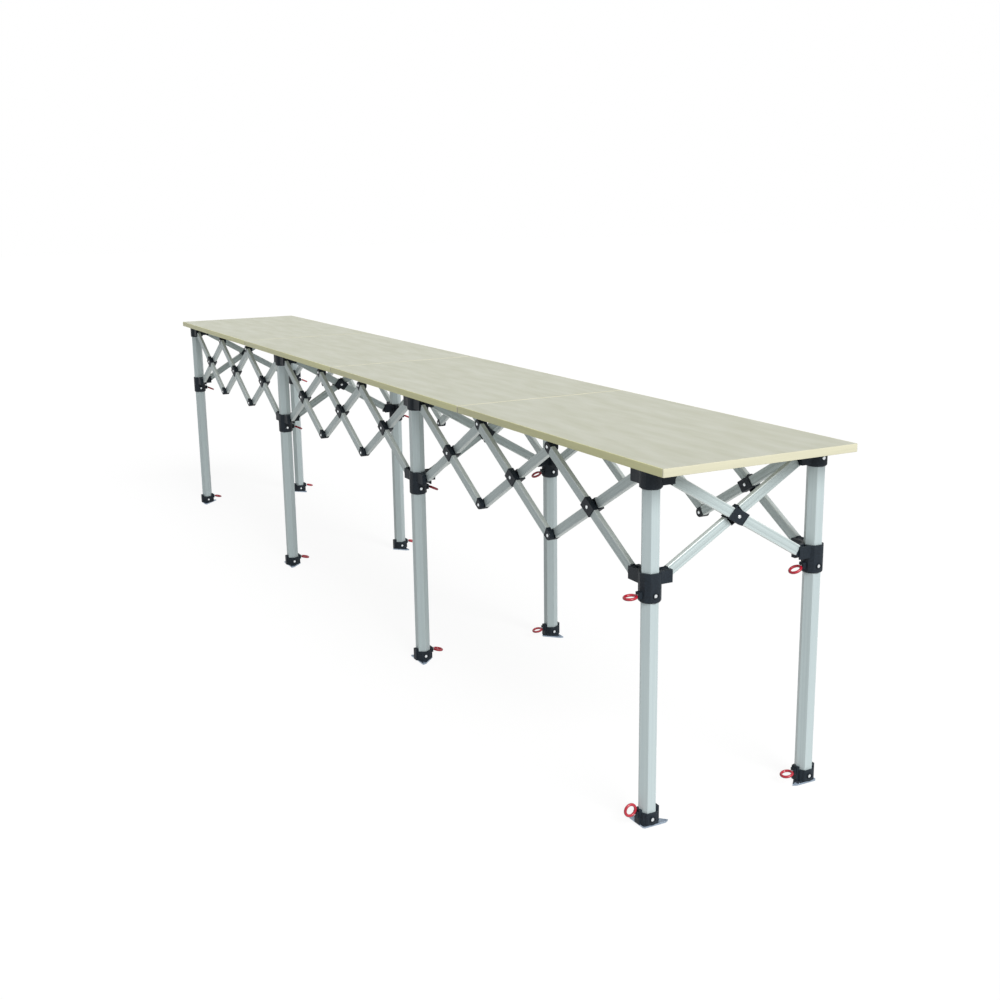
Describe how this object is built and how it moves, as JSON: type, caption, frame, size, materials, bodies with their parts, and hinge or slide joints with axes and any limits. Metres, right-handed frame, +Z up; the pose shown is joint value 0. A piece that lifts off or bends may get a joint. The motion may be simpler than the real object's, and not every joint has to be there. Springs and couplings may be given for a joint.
{
  "type": "folding trestle table",
  "caption": "Long narrow folding table: loose wooden boards on a scissor-lattice aluminium frame with hexagonal telescopic legs, sliders and steel foot plates.",
  "frame": {"origin": "centre of the table on the floor", "axes": "+X along the table, +Y to the back row of legs, +Z up"},
  "size_m": [3.66, 0.561, 0.8],
  "materials": {
    "board": "pale sealed wood-look board",
    "leg_aluminium": "satin anodised extrusion",
    "bar_aluminium": "satin extrusion with fine lines",
    "black_nylon": "moulded black nylon",
    "foot_steel": "zinc plated",
    "ring_red": "red dipped pull ring"
  },
  "bodies": {
    "leg_pair_1": {"legs_1": "leg_aluminium", "top_brackets_1": "black_nylon", "foot_collars_1": "black_nylon"},
    "slider_pair_1": {"sliders_1": "black_nylon"},
    "inner_leg_pair_1": {"inner_legs_1": "foot_steel"},
    "leg_pair_2": {"legs_2": "leg_aluminium", "top_brackets_2": "black_nylon", "foot_collars_2": "black_nylon"},
    "slider_pair_2": {"sliders_2": "black_nylon"},
    "inner_leg_pair_2": {"inner_legs_2": "foot_steel"},
    "leg_pair_3": {"legs_3": "leg_aluminium", "top_brackets_3": "black_nylon", "foot_collars_3": "black_nylon"},
    "slider_pair_3": {"sliders_3": "black_nylon"},
    "inner_leg_pair_3": {"inner_legs_3": "foot_steel"},
    "leg_pair_4": {"legs_4": "leg_aluminium", "top_brackets_4": "black_nylon", "foot_collars_4": "black_nylon"},
    "slider_pair_4": {"sliders_4": "black_nylon"},
    "inner_leg_pair_4": {"inner_legs_4": "foot_steel"},
    "side_bar_1_outer_1": {"side_bar_1_outer_1": "bar_aluminium"},
    "side_bar_1_inner_1": {"side_bar_1_inner_1": "bar_aluminium"},
    "side_bar_1_outer_2": {"side_bar_1_outer_2": "bar_aluminium"},
    "side_bar_1_inner_2": {"side_bar_1_inner_2": "bar_aluminium"},
    "side_bar_1_outer_3": {"side_bar_1_outer_3": "bar_aluminium"},
    "side_bar_1_inner_3": {"side_bar_1_inner_3": "bar_aluminium"},
    "side_bar_2_outer_1": {"side_bar_2_outer_1": "bar_aluminium"},
    "side_bar_2_inner_1": {"side_bar_2_inner_1": "bar_aluminium"},
    "side_bar_2_outer_2": {"side_bar_2_outer_2": "bar_aluminium"},
    "side_bar_2_inner_2": {"side_bar_2_inner_2": "bar_aluminium"},
    "side_bar_2_outer_3": {"side_bar_2_outer_3": "bar_aluminium"},
    "side_bar_2_inner_3": {"side_bar_2_inner_3": "bar_aluminium"},
    "side_bar_3_outer_1": {"side_bar_3_outer_1": "bar_aluminium"},
    "side_bar_3_inner_1": {"side_bar_3_inner_1": "bar_aluminium"},
    "side_bar_3_outer_2": {"side_bar_3_outer_2": "bar_aluminium"},
    "side_bar_3_inner_2": {"side_bar_3_inner_2": "bar_aluminium"},
    "side_bar_3_outer_3": {"side_bar_3_outer_3": "bar_aluminium"},
    "side_bar_3_inner_3": {"side_bar_3_inner_3": "bar_aluminium"},
    "cross_bar_1_outer": {"cross_bar_1_outer": "bar_aluminium"},
    "cross_bar_1_inner": {"cross_bar_1_inner": "bar_aluminium"},
    "cross_bar_2_outer": {"cross_bar_2_outer": "bar_aluminium"},
    "cross_bar_2_inner": {"cross_bar_2_inner": "bar_aluminium"},
    "cross_bar_3_outer": {"cross_bar_3_outer": "bar_aluminium"},
    "cross_bar_3_inner": {"cross_bar_3_inner": "bar_aluminium"},
    "cross_bar_4_outer": {"cross_bar_4_outer": "bar_aluminium"},
    "cross_bar_4_inner": {"cross_bar_4_inner": "bar_aluminium"},
    "slider_pins_1": {"slider_pins_1": "ring_red"},
    "foot_pins_1": {"foot_pins_1": "ring_red"},
    "slider_pins_2": {"slider_pins_2": "ring_red"},
    "foot_pins_2": {"foot_pins_2": "ring_red"},
    "slider_pin_3_front": {"slider_pin_3_front": "ring_red"},
    "slider_pin_3_back": {"slider_pin_3_back": "ring_red"},
    "foot_pin_3_front": {"foot_pin_3_front": "ring_red"},
    "foot_pin_3_back": {"foot_pin_3_back": "ring_red"},
    "slider_pins_4": {"slider_pins_4": "ring_red"},
    "foot_pins_4": {"foot_pins_4": "ring_red"},
    "board_1": {"board_1": "board"},
    "board_2": {"board_2": "board"},
    "board_3": {"board_3": "board"},
    "board_4": {"board_4": "board"}
  },
  "joints": [
    {"name": "fold", "type": "hinge", "parent": "leg_pair_2", "child": "side_bar_2_outer_1", "pos_m": [-0.53201, -0.21633, 0.761], "axis": [0, 1, 0], "range_deg": [0, 50]},
    {"name": "bay_2_inner_1", "type": "hinge", "parent": "side_bar_2_outer_1", "child": "side_bar_2_inner_1", "pos_m": [-0.35467, -0.21633, 0.656], "axis": [0, 1, 0], "range_deg": [-100, 0]},
    {"name": "bay_2_inner_2", "type": "hinge", "parent": "side_bar_2_outer_1", "child": "side_bar_2_inner_2", "pos_m": [-0.17734, -0.21633, 0.551], "axis": [0, 1, 0], "range_deg": [-100, 0]},
    {"name": "bay_2_outer_2", "type": "hinge", "parent": "side_bar_2_inner_2", "child": "side_bar_2_outer_2", "pos_m": [0, -0.21633, 0.656], "axis": [0, 1, 0], "range_deg": [0, 100]},
    {"name": "bay_2_outer_3", "type": "hinge", "parent": "side_bar_2_inner_2", "child": "side_bar_2_outer_3", "pos_m": [0.17734, -0.21633, 0.761], "axis": [0, 1, 0], "range_deg": [0, 100]},
    {"name": "bay_2_inner_3", "type": "hinge", "parent": "side_bar_2_outer_3", "child": "side_bar_2_inner_3", "pos_m": [0.35467, -0.21633, 0.656], "axis": [0, 1, 0], "range_deg": [-100, 0]},
    {"name": "bay_2_legs", "type": "hinge", "parent": "side_bar_2_inner_3", "child": "leg_pair_3", "pos_m": [0.53201, -0.21633, 0.761], "axis": [0, 1, 0], "range_deg": [0, 50]},
    {"name": "bay_2_slider", "type": "hinge", "parent": "side_bar_2_outer_3", "child": "slider_pair_3", "pos_m": [0.53201, -0.21633, 0.551], "axis": [0, 1, 0], "range_deg": [-50, 0]},
    {"name": "slider_2_hold", "type": "hinge", "parent": "side_bar_2_inner_1", "child": "slider_pair_2", "pos_m": [-0.53201, -0.21633, 0.551], "axis": [0, 1, 0], "range_deg": [0, 50]},
    {"name": "bay_3_outer_1", "type": "hinge", "parent": "leg_pair_3", "child": "side_bar_3_outer_1", "pos_m": [0.62799, -0.21633, 0.761], "axis": [0, 1, 0], "range_deg": [0, 50]},
    {"name": "bay_3_inner_1", "type": "hinge", "parent": "side_bar_3_outer_1", "child": "side_bar_3_inner_1", "pos_m": [0.80533, -0.21633, 0.656], "axis": [0, 1, 0], "range_deg": [-100, 0]},
    {"name": "bay_3_inner_2", "type": "hinge", "parent": "side_bar_3_outer_1", "child": "side_bar_3_inner_2", "pos_m": [0.98266, -0.21633, 0.551], "axis": [0, 1, 0], "range_deg": [-100, 0]},
    {"name": "bay_3_outer_2", "type": "hinge", "parent": "side_bar_3_inner_2", "child": "side_bar_3_outer_2", "pos_m": [1.16, -0.21633, 0.656], "axis": [0, 1, 0], "range_deg": [0, 100]},
    {"name": "bay_3_outer_3", "type": "hinge", "parent": "side_bar_3_inner_2", "child": "side_bar_3_outer_3", "pos_m": [1.33734, -0.21633, 0.761], "axis": [0, 1, 0], "range_deg": [0, 100]},
    {"name": "bay_3_inner_3", "type": "hinge", "parent": "side_bar_3_outer_3", "child": "side_bar_3_inner_3", "pos_m": [1.51467, -0.21633, 0.656], "axis": [0, 1, 0], "range_deg": [-100, 0]},
    {"name": "bay_3_legs", "type": "hinge", "parent": "side_bar_3_inner_3", "child": "leg_pair_4", "pos_m": [1.69201, -0.21633, 0.761], "axis": [0, 1, 0], "range_deg": [0, 50]},
    {"name": "bay_3_slider", "type": "hinge", "parent": "side_bar_3_outer_3", "child": "slider_pair_4", "pos_m": [1.69201, -0.21633, 0.551], "axis": [0, 1, 0], "range_deg": [-50, 0]},
    {"name": "bay_1_inner_3", "type": "hinge", "parent": "leg_pair_2", "child": "side_bar_1_inner_3", "pos_m": [-0.62799, -0.21633, 0.761], "axis": [0, 1, 0], "range_deg": [-50, 0]},
    {"name": "bay_1_outer_3", "type": "hinge", "parent": "side_bar_1_inner_3", "child": "side_bar_1_outer_3", "pos_m": [-0.80533, -0.21633, 0.656], "axis": [0, 1, 0], "range_deg": [0, 100]},
    {"name": "bay_1_outer_2", "type": "hinge", "parent": "side_bar_1_inner_3", "child": "side_bar_1_outer_2", "pos_m": [-0.98266, -0.21633, 0.551], "axis": [0, 1, 0], "range_deg": [0, 100]},
    {"name": "bay_1_inner_2", "type": "hinge", "parent": "side_bar_1_outer_2", "child": "side_bar_1_inner_2", "pos_m": [-1.16, -0.21633, 0.656], "axis": [0, 1, 0], "range_deg": [-100, 0]},
    {"name": "bay_1_inner_1", "type": "hinge", "parent": "side_bar_1_outer_2", "child": "side_bar_1_inner_1", "pos_m": [-1.33734, -0.21633, 0.761], "axis": [0, 1, 0], "range_deg": [-100, 0]},
    {"name": "bay_1_outer_1", "type": "hinge", "parent": "side_bar_1_inner_1", "child": "side_bar_1_outer_1", "pos_m": [-1.51467, -0.21633, 0.656], "axis": [0, 1, 0], "range_deg": [0, 100]},
    {"name": "bay_1_legs", "type": "hinge", "parent": "side_bar_1_outer_1", "child": "leg_pair_1", "pos_m": [-1.69201, -0.21633, 0.761], "axis": [0, 1, 0], "range_deg": [-50, 0]},
    {"name": "bay_1_slider", "type": "hinge", "parent": "side_bar_1_inner_1", "child": "slider_pair_1", "pos_m": [-1.69201, -0.21633, 0.551], "axis": [0, 1, 0], "range_deg": [0, 50]},
    {"name": "cross_1_outer", "type": "hinge", "parent": "leg_pair_1", "child": "cross_bar_1_outer", "pos_m": [-1.74, -0.17734, 0.761], "axis": [-1, 0, 0], "range_deg": [0, 50]},
    {"name": "cross_1_inner", "type": "hinge", "parent": "leg_pair_1", "child": "cross_bar_1_inner", "pos_m": [-1.74, 0.17734, 0.761], "axis": [1, 0, 0], "range_deg": [0, 50]},
    {"name": "cross_2_outer", "type": "hinge", "parent": "leg_pair_2", "child": "cross_bar_2_outer", "pos_m": [-0.58, -0.17734, 0.761], "axis": [-1, 0, 0], "range_deg": [0, 50]},
    {"name": "cross_2_inner", "type": "hinge", "parent": "leg_pair_2", "child": "cross_bar_2_inner", "pos_m": [-0.58, 0.17734, 0.761], "axis": [1, 0, 0], "range_deg": [0, 50]},
    {"name": "cross_3_outer", "type": "hinge", "parent": "leg_pair_3", "child": "cross_bar_3_outer", "pos_m": [0.58, -0.17734, 0.761], "axis": [-1, 0, 0], "range_deg": [0, 50]},
    {"name": "cross_3_inner", "type": "hinge", "parent": "leg_pair_3", "child": "cross_bar_3_inner", "pos_m": [0.58, 0.17734, 0.761], "axis": [1, 0, 0], "range_deg": [0, 50]},
    {"name": "cross_4_outer", "type": "hinge", "parent": "leg_pair_4", "child": "cross_bar_4_outer", "pos_m": [1.74, -0.17734, 0.761], "axis": [-1, 0, 0], "range_deg": [0, 50]},
    {"name": "cross_4_inner", "type": "hinge", "parent": "leg_pair_4", "child": "cross_bar_4_inner", "pos_m": [1.74, 0.17734, 0.761], "axis": [1, 0, 0], "range_deg": [0, 50]},
    {"name": "height_1", "type": "slide", "parent": "leg_pair_1", "child": "inner_leg_pair_1", "axis": [0, 0, -1], "range_m": [0, 0.2]},
    {"name": "height_2", "type": "slide", "parent": "leg_pair_2", "child": "inner_leg_pair_2", "axis": [0, 0, -1], "range_m": [0, 0.2]},
    {"name": "height_3", "type": "slide", "parent": "leg_pair_3", "child": "inner_leg_pair_3", "axis": [0, 0, -1], "range_m": [0, 0.2]},
    {"name": "height_4", "type": "slide", "parent": "leg_pair_4", "child": "inner_leg_pair_4", "axis": [0, 0, -1], "range_m": [0, 0.2]},
    {"name": "slider_pins_1_pull", "type": "slide", "parent": "slider_pair_1", "child": "slider_pins_1", "axis": [0, 1, 0], "range_m": [0, 0.008], "stiffness_N_per_m": 400, "springref_m": -0.002},
    {"name": "foot_pins_1_pull", "type": "slide", "parent": "leg_pair_1", "child": "foot_pins_1", "axis": [0, 1, 0], "range_m": [0, 0.008], "stiffness_N_per_m": 400, "springref_m": -0.002},
    {"name": "slider_pins_2_pull", "type": "slide", "parent": "slider_pair_2", "child": "slider_pins_2", "axis": [0, 1, 0], "range_m": [0, 0.008], "stiffness_N_per_m": 400, "springref_m": -0.002},
    {"name": "foot_pins_2_pull", "type": "slide", "parent": "leg_pair_2", "child": "foot_pins_2", "axis": [0, 1, 0], "range_m": [0, 0.008], "stiffness_N_per_m": 400, "springref_m": -0.002},
    {"name": "slider_pin_3_front_pull", "type": "slide", "parent": "slider_pair_3", "child": "slider_pin_3_front", "axis": [0, 1, 0], "range_m": [0, 0.008], "stiffness_N_per_m": 400, "springref_m": -0.002},
    {"name": "slider_pin_3_back_pull", "type": "slide", "parent": "slider_pair_3", "child": "slider_pin_3_back", "axis": [0, -1, 0], "range_m": [0, 0.008], "stiffness_N_per_m": 400, "springref_m": -0.002},
    {"name": "foot_pin_3_front_pull", "type": "slide", "parent": "leg_pair_3", "child": "foot_pin_3_front", "axis": [0, 1, 0], "range_m": [0, 0.008], "stiffness_N_per_m": 400, "springref_m": -0.002},
    {"name": "foot_pin_3_back_pull", "type": "slide", "parent": "leg_pair_3", "child": "foot_pin_3_back", "axis": [0, -1, 0], "range_m": [0, 0.008], "stiffness_N_per_m": 400, "springref_m": -0.002},
    {"name": "slider_pins_4_pull", "type": "slide", "parent": "slider_pair_4", "child": "slider_pins_4", "axis": [0, -1, 0], "range_m": [0, 0.008], "stiffness_N_per_m": 400, "springref_m": -0.002},
    {"name": "foot_pins_4_pull", "type": "slide", "parent": "leg_pair_4", "child": "foot_pins_4", "axis": [0, -1, 0], "range_m": [0, 0.008], "stiffness_N_per_m": 400, "springref_m": -0.002},
    {"name": "board_1_lift", "type": "slide", "parent": "leg_pair_2", "child": "board_1", "axis": [0, 0, 1], "range_m": [0, 0.15]},
    {"name": "board_2_lift", "type": "slide", "parent": "leg_pair_2", "child": "board_2", "axis": [0, 0, 1], "range_m": [0, 0.15]},
    {"name": "board_3_lift", "type": "slide", "parent": "leg_pair_2", "child": "board_3", "axis": [0, 0, 1], "range_m": [0, 0.15]},
    {"name": "board_4_lift", "type": "slide", "parent": "leg_pair_2", "child": "board_4", "axis": [0, 0, 1], "range_m": [0, 0.15]}
  ],
  "couplings": [
    {"joint": "bay_2_inner_1", "follows": "fold", "ratio": -2},
    {"joint": "bay_2_inner_2", "follows": "fold", "ratio": -2},
    {"joint": "bay_2_outer_2", "follows": "fold", "ratio": 2},
    {"joint": "bay_2_outer_3", "follows": "fold", "ratio": 2},
    {"joint": "bay_2_inner_3", "follows": "fold", "ratio": -2},
    {"joint": "bay_2_legs", "follows": "fold", "ratio": 1},
    {"joint": "bay_2_slider", "follows": "fold", "ratio": -1},
    {"joint": "slider_2_hold", "follows": "fold", "ratio": 1},
    {"joint": "bay_3_outer_1", "follows": "fold", "ratio": 1},
    {"joint": "bay_3_inner_1", "follows": "fold", "ratio": -2},
    {"joint": "bay_3_inner_2", "follows": "fold", "ratio": -2},
    {"joint": "bay_3_outer_2", "follows": "fold", "ratio": 2},
    {"joint": "bay_3_outer_3", "follows": "fold", "ratio": 2},
    {"joint": "bay_3_inner_3", "follows": "fold", "ratio": -2},
    {"joint": "bay_3_legs", "follows": "fold", "ratio": 1},
    {"joint": "bay_3_slider", "follows": "fold", "ratio": -1},
    {"joint": "bay_1_inner_3", "follows": "fold", "ratio": -1},
    {"joint": "bay_1_outer_3", "follows": "fold", "ratio": 2},
    {"joint": "bay_1_outer_2", "follows": "fold", "ratio": 2},
    {"joint": "bay_1_inner_2", "follows": "fold", "ratio": -2},
    {"joint": "bay_1_inner_1", "follows": "fold", "ratio": -2},
    {"joint": "bay_1_outer_1", "follows": "fold", "ratio": 2},
    {"joint": "bay_1_legs", "follows": "fold", "ratio": -1},
    {"joint": "bay_1_slider", "follows": "fold", "ratio": 1},
    {"joint": "cross_1_outer", "follows": "fold", "ratio": 1},
    {"joint": "cross_1_inner", "follows": "fold", "ratio": 1},
    {"joint": "cross_2_outer", "follows": "fold", "ratio": 1},
    {"joint": "cross_2_inner", "follows": "fold", "ratio": 1},
    {"joint": "cross_3_outer", "follows": "fold", "ratio": 1},
    {"joint": "cross_3_inner", "follows": "fold", "ratio": 1},
    {"joint": "cross_4_outer", "follows": "fold", "ratio": 1},
    {"joint": "cross_4_inner", "follows": "fold", "ratio": 1}
  ]
}
